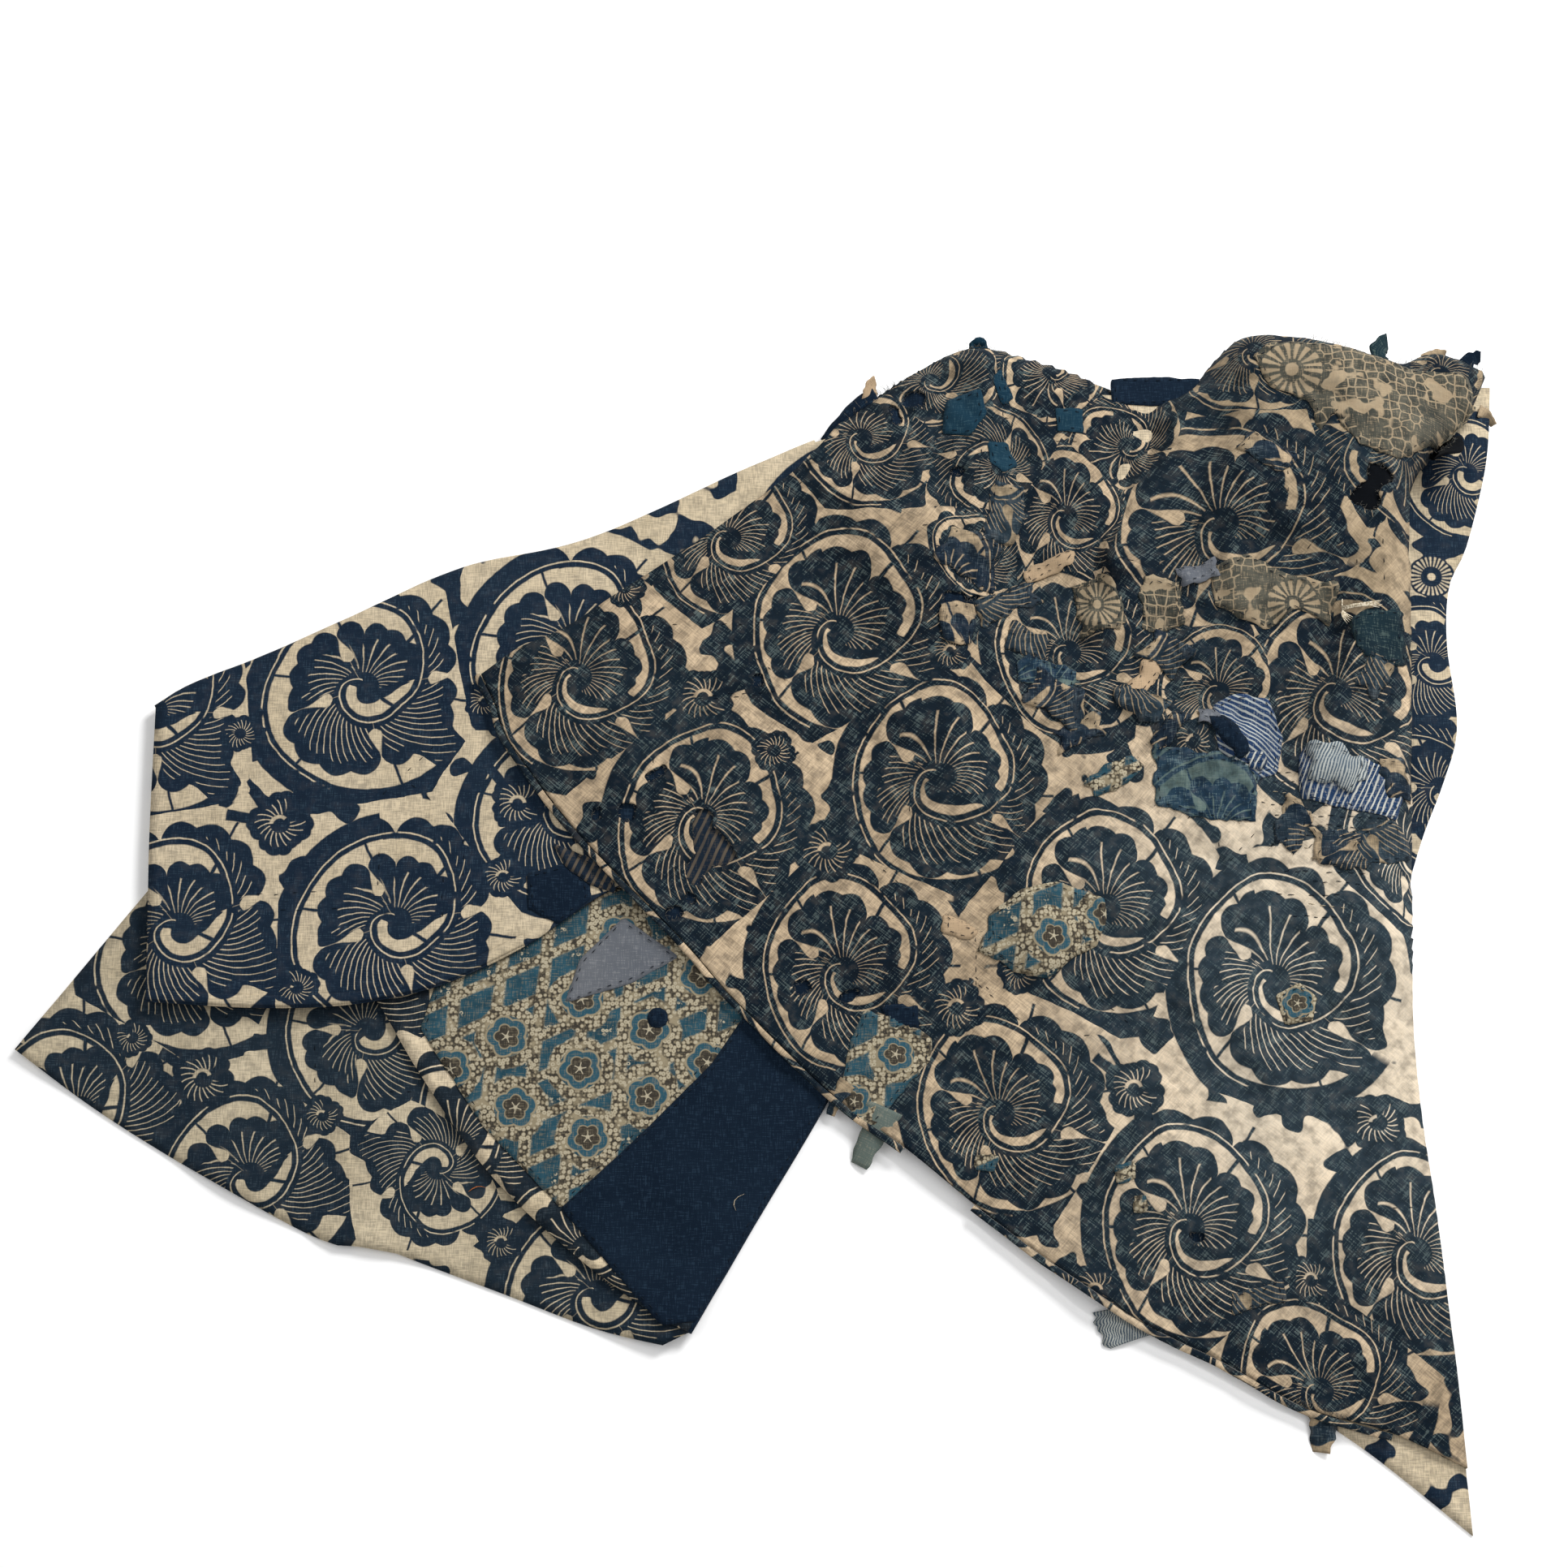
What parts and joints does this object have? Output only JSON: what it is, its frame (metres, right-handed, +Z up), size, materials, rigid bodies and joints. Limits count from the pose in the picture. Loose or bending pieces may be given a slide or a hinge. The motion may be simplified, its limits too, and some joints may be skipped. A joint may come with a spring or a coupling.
{
  "type": "boro patched cloth",
  "caption": "Large worn indigo scroll-printed cotton cloth, patched and darned, laid out in four folded leaves with a raised hood-like fold at one corner.",
  "frame": {"origin": "centre of the bounding box in plan, on the surface that the cloth lies on", "axes": "+X along the cloth's long extent towards the fold that the hood lies against, +Y towards the hood, +Z up"},
  "size_m": [1.0951, 0.909, 0.058],
  "materials": {
    "printed_cotton": "plain-woven cotton, stencil-dyed scrolling vine in indigo on tan, worn and darned",
    "indigo_cotton": "plain-woven cotton, plain indigo, faded in streaks",
    "calico_cotton": "thin printed cotton, small flowers on teal and tan",
    "grey_green_cotton": "printed cotton, chrysanthemums and hexagons in grey green on tan",
    "striped_cotton": "woven cotton, narrow pale and indigo stripes"
  },
  "bodies": {
    "root": {"cloth": "printed_cotton", "indigo_panel": "indigo_cotton", "calico_panel": "calico_cotton", "hood_patch": "grey_green_cotton", "flower_patch": "calico_cotton", "striped_patch_left": "striped_cotton", "striped_patch_right": "striped_cotton", "plain_patch": "indigo_cotton"}
  },
  "joints": []
}
